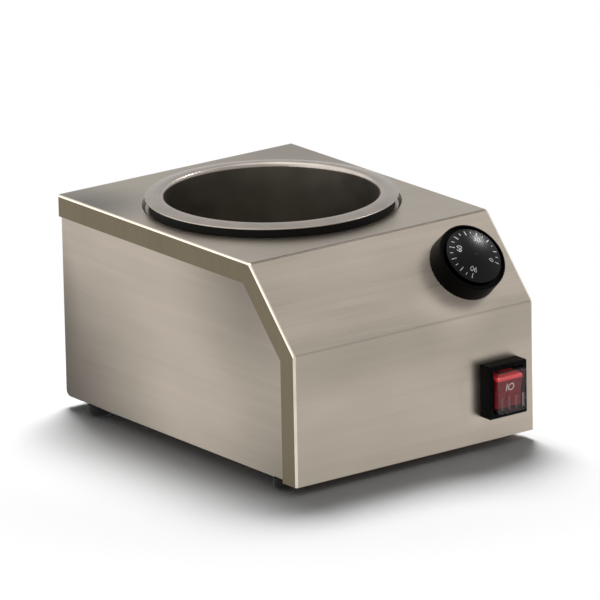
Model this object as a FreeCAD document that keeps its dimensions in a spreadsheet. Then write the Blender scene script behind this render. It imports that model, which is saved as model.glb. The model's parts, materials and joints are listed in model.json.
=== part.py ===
import FreeCAD, Part
import os
import re
from math import cos, radians, sin

import Sketcher
from FreeCAD import Placement, Rotation, Vector

# Table-top chocolate bain-marie: a folded stainless housing with a sloping control panel,
# a water well let into its top, and a flanged pot that lifts out of the well.
# Millimetres. X runs to the right seen from the front, Y to the back, Z up.
# The origin is on the table, under the middle of the housing.

SIZES = {
    # housing sheet metal
    "body_width": 200,
    "body_depth": 266,
    "body_height": 143.6,
    "front_height": 90,
    "slope_run": 47.8,
    "sheet": 1.0,
    "side_lip": 15,
    "return_depth": 9,
    "bend_radius": 1.8,
    "crease_radius": 3,
    "tray_corner": 5,
    "rear_flange": 14,
    "panel_margin": 2,
    "panel_corner": 3,
    "cut_margin": 1,
    # feet
    "foot_height": 7,
    "foot_radius": 9,
    "foot_round": 3,
    "foot_side_inset": 10,
    "foot_front_inset": 24,
    "foot_back_inset": 31,
    "foot_screw_radius": 2,
    "screw_clearance": 0.15,
    "foot_recess_radius": 4.2,
    "foot_recess_depth": 3.4,
    "foot_head_radius": 3.8,
    "foot_head_height": 2.4,
    "foot_nut_flats": 7,
    "foot_nut_height": 3.2,
    "screw_end": 1,
    # water well
    "well_behind_middle": 23.3,
    "water_gap": 4,
    "well_wall": 0.8,
    "water_under": 11.5,
    "well_corner": 8,
    "well_flange_width": 6,
    "seat_width": 9.8,
    "seat_slope": 2.2,
    "seat_depth": 2.5,
    "seat_round": 0.7,
    "gasket_inset": 1.2,
    "gasket_width": 4,
    "gasket_round": 0.6,
    "rest_gap": 0.32,
    # pot
    "pot_radius": 73,
    "pot_wall": 1.0,
    "pot_depth": 98,
    "pot_corner": 14,
    "pot_rim_round": 3,
    "flange_inset": 1.9,
    "flange_rise": 7.3,
    "flange_turn": 6,
    "flange_turn_round": 15,
    "flange_drop": 1.5,
    "flange_edge_round": 0.45,
    # heating and insulation under and round the well
    "heater_inset": 15,
    "heater_thickness": 3,
    "clamp_inset": 4,
    "clamp_thickness": 2,
    "heater_stud_radius": 3,
    "heater_stud_length": 14,
    "heater_nut_flats": 10,
    "heater_nut_height": 5,
    "wrap_gap": 0.3,
    "wrap_thickness": 6,
    "wrap_base": 22,
    "wrap_height": 100,
    "cutout_inset": 24,
    "cutout_radius": 8,
    "cutout_height": 9,
    "cutout_flange_thickness": 1,
    "cutout_flange_length": 32,
    "cutout_flange_width": 10,
    "cutout_flange_round": 4.8,
    "cutout_screw_spacing": 24,
    "cutout_screw_radius": 1.5,
    "cutout_head_radius": 2.8,
    "cutout_head_height": 1.8,
    # temperature sensor
    "sensor_bearing": -56,
    "sensor_radius": 3.1,
    "sensor_length": 58,
    "sensor_base": 36,
    "pocket_bore": 3.2,
    "pocket_wall": 0.8,
    "pocket_length": 62,
    "capillary_radius": 0.8,
    "capillary_bend": 5,
    "capillary_rise": 10,
    "capillary_drop": 12,
    # thermostat and its knob on the sloping panel
    "knob_inset": 41.2,
    "knob_up_slope": 34.7,
    "knob_radius": 25,
    "knob_height": 15.2,
    "knob_draft": 0.5,
    "knob_wall": 2,
    "knob_gap": 0.8,
    "knob_rim": 1.3,
    "knob_recess": 3.2,
    "knob_edge_round": 0.9,
    "hub_radius": 6.5,
    "dial_radius": 20.3,
    "dial_edge": 1.2,
    "dial_dome": 3.4,
    "dial_pin_radius": 4,
    "dial_pin_length": 1.2,
    "dial_pin_gap": 0.05,
    "shaft_radius": 3,
    "shaft_running_gap": 0.05,
    "shaft_flat": 0.8,
    "shaft_reach": 9,
    "shaft_inside": 8,
    "shaft_hole_radius": 5,
    "thermostat_width": 44,
    "thermostat_breadth": 33,
    "thermostat_deep": 26,
    "thermostat_round": 3,
    "thermostat_screw_spacing": 28,
    "thermostat_screw_radius": 2,
    "thermostat_screw_grip": 7,
    "thermostat_head_radius": 3.9,
    "thermostat_head_height": 2,
    # power switch on the front
    "switch_inset": 29.7,
    "switch_up": 36.2,
    "switch_hole_width": 22,
    "switch_hole_length": 30,
    "switch_fit": 0.3,
    "housing_deep": 24,
    "housing_flange_width": 25.6,
    "housing_flange_length": 32.6,
    "housing_flange_thickness": 2,
    "rocker_well_width": 18.6,
    "rocker_well_length": 25.6,
    "rocker_well_deep": 5.8,
    "rocker_width": 17.6,
    "rocker_cap_width": 21.6,
    "rocker_cap_base": 5.4,
    "rocker_length": 23,
    "rocker_end_height": 12.8,
    "rocker_middle_height": 11.2,
    "rocker_under": 2.2,
    "rocker_round": 2,
    "rocker_edge_round": 0.8,
    "rocker_pivot_depth": 1.5,
    "rocker_tilt": 7,
    "trunnion_radius": 1.2,
    "trunnion_reach": 1.4,
    "trunnion_gap": 0.05,
    "frame_width": 32,
    "frame_length": 37,
    "frame_proud": 10,
    "frame_round": 1.2,
    "frame_window_width": 25,
    "frame_window_length": 30,
    "boot_proud": 14.5,
    "boot_wall": 1,
    "boot_flange": 1.2,
    "boot_round": 2.5,
    "boot_fit": 0.2,
    "rib_width": 1.4,
    "rib_length": 9,
    "rib_spacing": 6,
    "rib_drop": 7.2,
    "rib_proud": 0.4,
    # tab terminals of the switch and the thermostat
    "tab_width": 6.3,
    "tab_thickness": 0.8,
    "tab_length": 9,
    "switch_tab_x": 5.5,
    "switch_tab_y": 8,
    "thermostat_tab_x": 9,
    "thermostat_tab_y": 8,
    # back panel, its screws and the cord gland
    "panel_screw_radius": 1.9,
    "panel_screw_length": 6,
    "panel_head_radius": 3.6,
    "panel_head_height": 2.2,
    "panel_screw_low": 22,
    "panel_screw_high": 30,
    "gland_inset": 38,
    "gland_up": 26,
    "gland_thread_radius": 7.8,
    "gland_hole_gap": 0.2,
    "gland_hex_flats": 19,
    "gland_hex_height": 4.5,
    "gland_cap_radius": 9,
    "gland_cap_mouth": 6,
    "gland_proud": 15.5,
    "gland_taper": 5,
    "gland_spigot_radius": 6.6,
    "gland_spigot_length": 5,
    "gland_inside": 9,
    "gland_bore": 3.5,
    "gland_nut_height": 4,
    # terminal block and earth stud on the tray floor
    "block_inset": 48,
    "block_back_inset": 42,
    "block_width": 34,
    "block_breadth": 17,
    "block_height": 15,
    "block_pole_spacing": 10,
    "block_hole_radius": 2.1,
    "block_screw_radius": 1.5,
    "block_screw_head": 2.7,
    "block_ear": 7,
    "block_ear_height": 4,
    "earth_inset": 40,
    "earth_back_inset": 32,
    "earth_stud_radius": 2.5,
    "earth_stud_height": 16,
    "earth_nut_flats": 8,
    "earth_nut_height": 4,
}

# Lengths that follow from the sizes above.
DERIVED = {
    "half_width": "body_width / 2",
    "front_y": "-body_depth / 2",
    "back_y": "body_depth / 2",
    "base_z": "foot_height",
    "top_z": "foot_height + body_height",
    "slope_foot_z": "foot_height + front_height",
    "slope_head_y": "front_y + slope_run",
    "slope_rise": "body_height - front_height",
    "slope_angle": "atan2(slope_rise; slope_run)",
    "floor_z": "base_z + 2 * sheet",
    "tray_back": "back_y - 2 * sheet",
    "seat_z": "top_z - seat_depth",
    "well_top": "seat_z - sheet",
    "well_radius": "pot_radius + pot_wall + water_gap",
    "well_flange_radius": "well_radius + well_flange_width",
    "seat_radius": "well_radius + seat_width",
    "pot_flange_radius": "seat_radius - flange_inset",
    "well_depth": "well_top - flange_top + pot_depth + pot_wall + water_under",
    "heater_radius": "well_radius - heater_inset",
    "clamp_radius": "heater_radius - clamp_inset",
    "cutout_offset": "clamp_radius - cutout_inset",
    "well_bottom": "well_top - well_depth - well_wall",
    "flange_top": "top_z + flange_rise",
    "flange_turn_radius": "pot_radius + flange_turn",
    "flange_slope": "flange_drop / (pot_flange_radius - flange_turn_radius)",
    "pot_outside": "pot_radius + pot_wall",
    "gasket_inside": "well_radius + gasket_inset",
    "gasket_outside": "gasket_inside + gasket_width",
    "flange_fall": "flange_slope * (gasket_outside - flange_turn_radius)",
    "gasket_top": "flange_top - pot_wall - rest_gap - flange_fall",
    "heater_bottom": "well_bottom - heater_thickness",
    "clamp_bottom": "heater_bottom - clamp_thickness",
    "wrap_inside": "well_radius + well_wall + wrap_gap",
    "pocket_outside": "pocket_bore + pocket_wall",
    "pocket_distance": "well_radius + well_wall + pocket_outside",
    "sensor_x": "pocket_distance * cos(sensor_bearing)",
    "sensor_y": "well_behind_middle + pocket_distance * sin(sensor_bearing)",
    "pocket_z": "base_z + sensor_base",
    "knob_side": "half_width - knob_inset",
    "knob_y": "front_y + knob_up_slope * cos(slope_angle)",
    "knob_z": "slope_foot_z + knob_up_slope * sin(slope_angle)",
    "switch_side": "half_width - switch_inset",
    "switch_z": "base_z + switch_up",
    "panel_face": "back_y - sheet",
    "panel_screw_x": "half_width - 2 * sheet - rear_flange / 2",
    "panel_low_z": "base_z + panel_screw_low",
    "panel_high_z": "top_z - panel_screw_high",
    "gland_side": "half_width - gland_inset",
    "gland_z": "base_z + gland_up",
    "block_side": "half_width - block_inset",
    "block_behind_middle": "back_y - block_back_inset",
    "earth_side": "earth_inset - half_width",
    "earth_behind_middle": "back_y - earth_back_inset",
    "foot_x": "half_width - foot_side_inset",
    "foot_front_y": "front_y + foot_front_inset",
    "foot_back_y": "back_y - foot_back_inset",
    "dial_seat": "knob_height - knob_recess",
    "hub_bore": "shaft_radius + shaft_running_gap",
    "boot_width": "frame_window_width - 2 * boot_fit",
    "boot_length": "frame_window_length - 2 * boot_fit",
    "boot_base": "housing_flange_thickness",
    "through": "2 * body_height",
}

doc = FreeCAD.newDocument("chocolate_bain_marie")
sheet = doc.addObject("Spreadsheet::Sheet", "Sizes")
for row, (alias, number) in enumerate(SIZES.items(), 1):
    sheet.set(f"A{row}", alias)
    sheet.set(f"B{row}", str(number))
    sheet.setAlias(f"B{row}", alias)
doc.recompute()
nodes = []


def bound(text):
    """Turn plain names into the sheet's cells, for an expression."""
    def swap(match):
        word = match.group(0)
        if word in DERIVED:
            return f"({bound(DERIVED[word])})"
        return f"Sizes.{word}" if word in SIZES else word
    return re.sub(r"[a-z][a-z_0-9]*", swap, str(text))


def value(text):
    """The present value of an expression, as a number."""
    result = sheet.evalExpression(bound(text))
    return float(getattr(result, "Value", result))


def bind_placement(item, at, turn=None):
    """Put an item at three bound coordinates, turned about X by a bound angle."""
    angle = value(turn) if turn else 0
    item.Placement = Placement(Vector(*map(value, at)), Rotation(Vector(1, 0, 0), angle))
    for axis, text in zip("xyz", at):
        item.setExpression(f"Placement.Base.{axis}", bound(text))
    if turn:
        item.setExpression("Placement.Rotation.Angle", bound(turn))


def keep(item):
    nodes.append(item)
    return item


def new_body(name, at=("0", "0", "0"), turn=None):
    body = doc.addObject("PartDesign::Body", name)
    body.Label = name
    bind_placement(body, at, turn)
    return keep(body)


def new_sketch(body, plane, at=("0", "0", "0"), turn=None):
    """An empty sketch on one of the body's own origin planes, moved in the plane's frame."""
    sketch = body.newObject("Sketcher::SketchObject", f"{body.Name}_sketch")
    support = next(f for f in body.Origin.OriginFeatures if f.Role == f"{plane}_Plane")
    sketch.AttachmentSupport = [(support, "")]
    sketch.MapMode = "FlatFace"
    angle = value(turn) if turn else 0
    sketch.AttachmentOffset = Placement(
        Vector(*map(value, at)), Rotation(Vector(1, 0, 0), angle))
    for axis, text in zip("xyz", at):
        sketch.setExpression(f"AttachmentOffset.Base.{axis}", bound(text))
    if turn:
        sketch.setExpression("AttachmentOffset.Rotation.Angle", bound(turn))
    return sketch


def dimension(sketch, kind, geometry, point, text):
    """Tie one coordinate of a sketch point to an expression."""
    if str(text) == "0":
        axis = -2 if kind == "DistanceX" else -1
        sketch.addConstraint(Sketcher.Constraint("PointOnObject", geometry, point, axis))
        return
    index = sketch.addConstraint(
        Sketcher.Constraint(kind, -1, 1, geometry, point, value(text)))
    sketch.setExpression(f"Constraints[{index}]", bound(text))


def dome_side(start, end):
    """The arc from a point on the Y axis down to another point, with its centre on that axis."""
    drop = start.y - end.y
    radius = (end.x ** 2 + drop ** 2) / (2 * drop)
    centre = Vector(0, start.y - radius, 0)
    middle = centre + ((start + end) / 2 - centre).normalize() * radius
    return Part.Arc(start, middle, end)


def outline(body, plane, corners, rounds=None, dome=None, **where):
    """A closed outline through bound corners.

    rounds maps a corner's index to the radius it is rounded to. dome is the index of a side
    that starts on the Y axis and is an arc with its centre on that axis.
    """
    sketch = new_sketch(body, plane, **where)
    points = [Vector(value(x), value(y), 0) for x, y in corners]
    count = len(points)
    sides = []
    for i in range(count):
        start, end = points[i], points[(i + 1) % count]
        if i == dome:
            shape, ends = dome_side(start, end), (2, 1)
        else:
            shape, ends = Part.LineSegment(start, end), (1, 2)
        sides.append((sketch.addGeometry(shape, False), *ends))
    for i, (side, _, last) in enumerate(sides):
        following, first, _ = sides[(i + 1) % count]
        sketch.addConstraint(
            Sketcher.Constraint("Coincident", side, last, following, first))
    for (side, first, _), (x, y) in zip(sides, corners):
        dimension(sketch, "DistanceX", side, first, x)
        dimension(sketch, "DistanceY", side, first, y)
    if dome is not None:
        dimension(sketch, "DistanceX", sides[dome][0], 3, "0")
    for corner, radius in (rounds or {}).items():
        arc = sketch.GeometryCount
        sketch.fillet(sides[corner][0], 1, value(radius), True, True)
        bind_radius(sketch, arc, radius)
    return sketch


def bind_radius(sketch, geometry, text):
    index = sketch.addConstraint(Sketcher.Constraint("Radius", geometry, value(text)))
    sketch.setExpression(f"Constraints[{index}]", bound(text))


def rectangle(body, plane, width, length, middle=("0", "0"), rounding=None, **where):
    x, y = middle
    corners = [(f"{x} {sx} ({width}) / 2", f"{y} {sy} ({length}) / 2")
               for sx, sy in (("-", "-"), ("+", "-"), ("+", "+"), ("-", "+"))]
    rounds = {i: rounding for i in range(4)} if rounding else None
    return outline(body, plane, corners, rounds, **where)


def circles(body, plane, radius, centres=(("0", "0"),), **where):
    sketch = new_sketch(body, plane, **where)
    for x, y in centres:
        centre = Vector(value(x), value(y), 0)
        ring = sketch.addGeometry(Part.Circle(centre, Vector(0, 0, 1), value(radius)), False)
        dimension(sketch, "DistanceX", ring, 3, x)
        dimension(sketch, "DistanceY", ring, 3, y)
        bind_radius(sketch, ring, radius)
    return sketch


def hexagon(body, plane, flats, middle=("0", "0"), **where):
    """A hexagon of a given width across its flats."""
    x, y = middle
    corners = [(f"{x} + ({flats}) / sqrt(3) * {round(cos(radians(60 * i)), 6)}",
                f"{y} + ({flats}) / sqrt(3) * {round(sin(radians(60 * i)), 6)}")
               for i in range(6)]
    return outline(body, plane, corners, **where)


def prism(body, kind, sketch, length, symmetric=False, reverse=False):
    feature = body.newObject(f"PartDesign::{kind}", f"{body.Name}_{kind.lower()}")
    feature.Profile = sketch
    feature.setExpression("Length", bound(length))
    feature.SideType = "Symmetric" if symmetric else "One side"
    feature.Reversed = reverse
    body.Tip = feature
    return feature


def pad(body, sketch, length, **options):
    return prism(body, "Pad", sketch, length, **options)


def pocket(body, sketch, length, **options):
    return prism(body, "Pocket", sketch, length, **options)


def revolve(body, sketch, kind="Revolution"):
    feature = body.newObject(f"PartDesign::{kind}", f"{body.Name}_{kind.lower()}")
    feature.Profile = sketch
    feature.ReferenceAxis = (sketch, ["V_Axis"])
    feature.Angle = 360
    body.Tip = feature
    return feature


def round_edges(body, radius, wanted, kind="Fillet"):
    """Fillet or chamfer the edges whose two ends and middle all pass the test."""
    doc.recompute()
    base = body.Tip
    names = []
    for number, edge in enumerate(base.Shape.Edges, 1):
        middle = edge.valueAt((edge.FirstParameter + edge.LastParameter) / 2)
        spots = [v.Point for v in edge.Vertexes] + [middle]
        if all(wanted(p) for p in spots):
            names.append(f"Edge{number}")
    feature = body.newObject(f"PartDesign::{kind}", f"{body.Name}_{kind.lower()}")
    feature.Base = (base, names)
    size = "Radius" if kind == "Fillet" else "Size"
    feature.setExpression(size, bound(radius))
    body.Tip = feature
    return feature


def near(a, b, slack=0.01):
    return abs(a - b) < slack


def side_outline(offset, back, bottom):
    """The housing's side view, moved in from the outer sheet by an offset."""
    return [
        (f"front_y + {offset}", bottom),
        (f"front_y + {offset}", f"slope_foot_z - ({offset}) * tan((90 deg - slope_angle) / 2)"),
        (f"slope_head_y + ({offset}) * tan(slope_angle / 2)", f"top_z - ({offset})"),
        (back, f"top_z - ({offset})"),
    ]


def depth_under_skin(point):
    """How far a point of the side view lies inside the front, the slope and the top."""
    angle = radians(value("slope_angle"))
    wall = point.y - value("front_y")
    slope = wall * sin(angle) - (point.z - value("slope_foot_z")) * cos(angle)
    return min(wall, slope, value("top_z") - point.z)


def top_cover():
    """One folded sheet: top, slope and front, with lips turned down over the sides."""
    body = new_body("top_cover")
    band = side_outline("0", "back_y", "base_z")
    inner = side_outline("side_lip", "back_y", "base_z")
    bends = {1: "crease_radius", 2: "crease_radius"}
    pad(body, outline(body, "YZ", band + inner[::-1], bends), "body_width", symmetric=True)
    half = value("half_width")

    def bend(p):
        on_side = near(abs(p.x), half)
        at_back = near(p.y, value("back_y")) and p.z > value("top_z - side_lip") - 0.01
        return on_side and (depth_under_skin(p) < value("side_lip") / 4 or at_back)

    round_edges(body, "bend_radius", bend)
    hollow = side_outline("sheet", "back_y - sheet", "base_z + sheet")
    hollow += [("back_y - sheet", "base_z - cut_margin"), ("front_y + return_depth", "base_z - cut_margin"),
               ("front_y + return_depth", "base_z + sheet")]
    bends = {1: "crease_radius - sheet", 2: "crease_radius - sheet"}
    pocket(body, outline(body, "YZ", hollow, bends), "body_width - 2 * sheet", symmetric=True)
    middle = ("0", "well_behind_middle")
    pocket(body, circles(body, "XY", "seat_radius", [middle], at=("0", "0", "top_z")),
           "4 * sheet", symmetric=True)
    seat = [
        ("seat_radius + sheet", "0"), ("seat_radius", "0"),
        ("seat_radius - seat_slope", "-seat_depth"), ("well_radius", "-seat_depth"),
        ("well_radius", "-seat_depth - sheet"),
        ("seat_radius - seat_slope + sheet / 2", "-seat_depth - sheet"),
        ("seat_radius + sheet", "-sheet"),
    ]
    seat = [(r, f"top_z + {z}") for r, z in seat]
    revolve(body, outline(body, "XZ", seat, {1: "seat_round"},
                          at=("0", "0", "-well_behind_middle")))
    slope = dict(at=("knob_side", "knob_y", "knob_z"), turn="slope_angle")
    pocket(body, circles(body, "XY", "shaft_hole_radius", **slope), "4 * sheet", symmetric=True)
    pocket(body, circles(body, "XY", "thermostat_screw_radius + screw_clearance",
                         screw_pair("thermostat_screw_spacing"), **slope),
           "4 * sheet", symmetric=True)
    pocket(body, rectangle(body, "XZ", "switch_hole_width", "switch_hole_length",
                           ("switch_side", "switch_z"), at=("0", "0", "-(front_y)")),
           "4 * sheet", symmetric=True)


def screw_pair(spacing):
    return [(f"-{spacing} / 2", "0"), (f"{spacing} / 2", "0")]


def foot_places():
    return {
        "front_left": ("-foot_x", "foot_front_y"),
        "front_right": ("foot_x", "foot_front_y"),
        "back_left": ("-foot_x", "foot_back_y"),
        "back_right": ("foot_x", "foot_back_y"),
    }


def block_screw_places():
    reach = "(block_width + block_ear) / 2"
    return [(f"block_side - {reach}", "block_behind_middle"),
            (f"block_side + {reach}", "block_behind_middle")]


def base_tray():
    """Floor, both side panels and a rear flange, folded from one sheet."""
    body = new_body("base_tray")
    profile = side_outline("sheet", "tray_back", "base_z + sheet")
    profile.append(("tray_back", "base_z + sheet"))
    rounds = {1: "crease_radius - sheet", 2: "crease_radius - sheet", 4: "tray_corner"}
    pad(body, outline(body, "YZ", profile, rounds), "body_width - 2 * sheet", symmetric=True)
    side = value("half_width - sheet")
    low = value("base_z + sheet")
    back = value("tray_back")
    corner = value("tray_corner")

    def bend(p):
        under = near(p.z, low) and p.y <= back - corner + 0.01
        behind = near(p.y, back) and p.z >= low + corner - 0.01
        on_arc = p.y > back - corner - 0.01 and p.z < low + corner + 0.01
        return near(abs(p.x), side) and (under or behind or on_arc)

    round_edges(body, "bend_radius", bend)
    room = [("front_y - cut_margin", "floor_z"), ("tray_back - sheet", "floor_z"),
            ("tray_back - sheet", "top_z + cut_margin"), ("front_y - cut_margin", "top_z + cut_margin")]
    pocket(body, outline(body, "YZ", room), "body_width - 4 * sheet", symmetric=True)
    window_height = "body_height"
    pocket(body, rectangle(body, "XZ", "body_width - 4 * sheet - 2 * rear_flange", window_height,
                           ("0", f"floor_z + rear_flange + {window_height} / 2"),
                           at=("0", "0", "-(tray_back - sheet / 2)")),
           "3 * sheet", symmetric=True)
    floor = dict(at=("0", "0", "floor_z"))
    pocket(body, circles(body, "XY", "foot_screw_radius + screw_clearance",
                         list(foot_places().values()), **floor), "4 * sheet", symmetric=True)
    pocket(body, circles(body, "XY", "block_screw_radius + screw_clearance",
                         block_screw_places(), **floor), "4 * sheet", symmetric=True)
    pocket(body, circles(body, "XZ", "panel_screw_radius + screw_clearance",
                         panel_screw_places(), at=("0", "0", "-(tray_back)")),
           "4 * sheet", symmetric=True)


def panel_screw_places():
    return [(f"{side}panel_screw_x", z)
            for side in ("-", "") for z in ("panel_low_z", "panel_high_z")]


def back_panel():
    """Flat sheet that closes the back, behind the tray's flange."""
    body = new_body("back_panel")
    low = "(base_z + sheet + panel_margin)"
    high = "(top_z - sheet - panel_margin)"
    plate = rectangle(body, "XZ", "body_width - 2 * sheet - 2 * panel_margin", f"{high} - {low}",
                      ("0", f"({high} + {low}) / 2"), "panel_corner",
                      at=("0", "0", "-(panel_face)"))
    pad(body, plate, "sheet")
    middle = dict(at=("0", "0", "-(panel_face)"))
    pocket(body, circles(body, "XZ", "panel_screw_radius + screw_clearance",
                         panel_screw_places(), **middle), "4 * sheet", symmetric=True)
    pocket(body, circles(body, "XZ", "gland_thread_radius + gland_hole_gap",
                         [("gland_side", "gland_z")], **middle), "4 * sheet", symmetric=True)


def feet():
    """Four turned rubber feet with a recess for the screw."""
    for corner, (x, y) in foot_places().items():
        body = new_body(f"foot_{corner}", at=(x, y, "0"))
        top = "foot_height + sheet"
        bore = "foot_screw_radius + screw_clearance"
        profile = [
            (bore, top), ("foot_radius", top), ("foot_radius", "0"),
            ("foot_recess_radius", "0"), ("foot_recess_radius", "foot_recess_depth"),
            (bore, "foot_recess_depth"),
        ]
        revolve(body, outline(body, "XZ", profile, {2: "foot_round"}))


def foot_fixings():
    places = list(foot_places().values())
    seat = "foot_recess_depth"
    screws = new_body("foot_screws", at=("0", "0", seat))
    pad(screws, circles(screws, "XY", "foot_head_radius", places), "foot_head_height",
        reverse=True)
    length = "floor_z - foot_recess_depth + foot_nut_height + screw_end"
    pad(screws, circles(screws, "XY", "foot_screw_radius", places), length)
    nuts = new_body("foot_nuts", at=("0", "0", "floor_z"))
    for place in places:
        pad(nuts, hexagon(nuts, "XY", "foot_nut_flats", place), "foot_nut_height")
    pocket(nuts, circles(nuts, "XY", "foot_screw_radius + shaft_running_gap", places), "through",
           symmetric=True)


def at_well(height):
    return ("0", "well_behind_middle", height)


def water_well():
    """Drawn tank with a flat flange that is welded under the seat of the cover."""
    body = new_body("water_well", at=at_well("well_top"))
    outside = "well_radius + well_wall"
    bottom = "-well_depth - well_wall"
    profile = [
        ("0", bottom), (outside, bottom), (outside, "-well_wall"),
        ("well_flange_radius", "-well_wall"), ("well_flange_radius", "0"),
        ("well_radius", "0"), ("well_radius", "-well_depth"), ("0", "-well_depth"),
    ]
    rounds = {1: "well_corner + well_wall", 6: "well_corner"}
    revolve(body, outline(body, "XZ", profile, rounds))


def pot_gasket():
    """Black ring between the seat and the flange of the pot, sloped to follow the flange."""
    body = new_body("pot_gasket", at=at_well("seat_z"))
    tall = "gasket_top - (seat_z)"
    profile = [("gasket_inside", "0"), ("gasket_outside", "0"), ("gasket_outside", tall),
               ("gasket_inside", f"{tall} + flange_slope * gasket_width")]
    revolve(body, outline(body, "XZ", profile, {2: "gasket_round", 3: "gasket_round"}))


def pot():
    """Drawn pot with a rounded mouth and a wide flange that turns down towards its edge."""
    body = new_body("pot", at=at_well("flange_top"))
    bottom = "-pot_depth - pot_wall"
    profile = [
        ("0", bottom), ("pot_outside", bottom),
        ("pot_outside", "-pot_wall"), ("flange_turn_radius", "-pot_wall"),
        ("pot_flange_radius", "-flange_drop - pot_wall"),
        ("pot_flange_radius", "-flange_drop"), ("flange_turn_radius", "0"),
        ("pot_radius", "0"), ("pot_radius", "-pot_depth"), ("0", "-pot_depth"),
    ]
    rounds = {
        1: "pot_corner + pot_wall", 2: "pot_rim_round - pot_wall", 3: "flange_turn_round",
        4: "flange_edge_round", 5: "flange_edge_round", 6: "flange_turn_round",
        7: "pot_rim_round", 8: "pot_corner",
    }
    revolve(body, outline(body, "XZ", profile, rounds))


def heating():
    """Flat heater pressed against the well's bottom by a disc on a central stud."""
    hole = "heater_stud_radius + screw_clearance"
    pad_ring = new_body("heater_pad", at=at_well("heater_bottom"))
    pad(pad_ring, circles(pad_ring, "XY", "heater_radius"), "heater_thickness")
    pocket(pad_ring, circles(pad_ring, "XY", hole), "through", symmetric=True)
    disc = new_body("heater_clamp_disc", at=at_well("clamp_bottom"))
    pad(disc, circles(disc, "XY", "clamp_radius"), "clamp_thickness")
    pocket(disc, circles(disc, "XY", hole), "through", symmetric=True)
    pocket(disc, circles(disc, "XY", "cutout_screw_radius + shaft_running_gap",
                         cutout_screws()), "through", symmetric=True)
    stud = new_body("heater_stud", at=at_well("well_bottom"))
    pad(stud, circles(stud, "XY", "heater_stud_radius"), "heater_stud_length", reverse=True)
    nut = new_body("heater_nut", at=at_well("clamp_bottom"))
    pad(nut, hexagon(nut, "XY", "heater_nut_flats"), "heater_nut_height", reverse=True)
    pocket(nut, circles(nut, "XY", "heater_stud_radius + shaft_running_gap"), "through",
           symmetric=True)


def cutout_screws():
    return [("cutout_offset", "-cutout_screw_spacing / 2"),
            ("cutout_offset", "cutout_screw_spacing / 2")]


def safety_cutout():
    """Button-shaped overheat cut-out under the clamp disc, held by two screws."""
    middle = [("cutout_offset", "0")]
    body = new_body("safety_cutout", at=at_well("clamp_bottom"))
    flange = rectangle(body, "XY", "cutout_flange_width", "cutout_flange_length", middle[0],
                       "cutout_flange_round")
    pad(body, flange, "cutout_flange_thickness", reverse=True)
    pad(body, circles(body, "XY", "cutout_radius", middle), "cutout_height", reverse=True)
    pocket(body, circles(body, "XY", "cutout_screw_radius + screw_clearance", cutout_screws()),
           "through", symmetric=True)
    screws = new_body("cutout_screws", at=at_well("clamp_bottom - cutout_flange_thickness"))
    pad(screws, circles(screws, "XY", "cutout_head_radius", cutout_screws()),
        "cutout_head_height", reverse=True)
    pad(screws, circles(screws, "XY", "cutout_screw_radius", cutout_screws()),
        "cutout_flange_thickness + clamp_thickness")


def insulation_wrap():
    """Mineral wool round the well, slit where the sensor pocket runs down the wall."""
    body = new_body("insulation_wrap", at=at_well("base_z + wrap_base"))
    pad(body, circles(body, "XY", "wrap_inside + wrap_thickness"), "wrap_height")
    pocket(body, circles(body, "XY", "wrap_inside"), "through", symmetric=True)
    slit = circles(body, "XY", "pocket_outside + wrap_gap",
                   [("pocket_distance * cos(sensor_bearing)",
                     "pocket_distance * sin(sensor_bearing)")])
    pocket(body, slit, "through", symmetric=True)


def temperature_sensor():
    """Open-topped pocket welded on the well's wall, and the bulb that stands in it."""
    tube = new_body("sensor_pocket", at=("sensor_x", "sensor_y", "pocket_z"))
    pad(tube, circles(tube, "XY", "pocket_outside"), "pocket_length")
    pocket(tube, circles(tube, "XY", "pocket_bore", at=("0", "0", "pocket_wall")), "through",
           reverse=True)
    bulb = new_body("sensor_bulb", at=("sensor_x", "sensor_y", "pocket_z + pocket_wall"))
    pad(bulb, circles(bulb, "XY", "sensor_radius"), "sensor_length")


def on_slope(height="0"):
    """Where a piece sits on the sloping panel: its own Z then points out of the panel."""
    at = ("knob_side", f"knob_y - ({height}) * sin(slope_angle)",
          f"knob_z + ({height}) * cos(slope_angle)")
    return dict(at=at, turn="slope_angle")


def thermostat():
    """Capillary thermostat behind the slope, with its screws and tab terminals."""
    pair = screw_pair("thermostat_screw_spacing")
    body = new_body("thermostat_body", **on_slope("-sheet"))
    case = rectangle(body, "XY", "thermostat_width", "thermostat_breadth",
                     rounding="thermostat_round")
    pad(body, case, "thermostat_deep", reverse=True)
    pocket(body, circles(body, "XY", "hub_bore"), "shaft_inside + screw_clearance")
    pocket(body, circles(body, "XY", "thermostat_screw_radius + shaft_running_gap", pair),
           "thermostat_screw_grip + screw_clearance")
    screws = new_body("thermostat_screws", **on_slope())
    pad(screws, circles(screws, "XY", "thermostat_head_radius", pair),
        "thermostat_head_height")
    pad(screws, circles(screws, "XY", "thermostat_screw_radius", pair),
        "sheet + thermostat_screw_grip", reverse=True)
    tabs = new_body("thermostat_terminals", **on_slope("-sheet - thermostat_deep"))
    for side in ("-", ""):
        tab(tabs, (f"{side}thermostat_tab_x", "thermostat_tab_y"))


def tab(body, middle):
    """A flat push-on terminal that stands inwards from the body's own XY plane."""
    pad(body, rectangle(body, "XY", "tab_thickness", "tab_width", middle), "tab_length",
        reverse=True)


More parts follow.
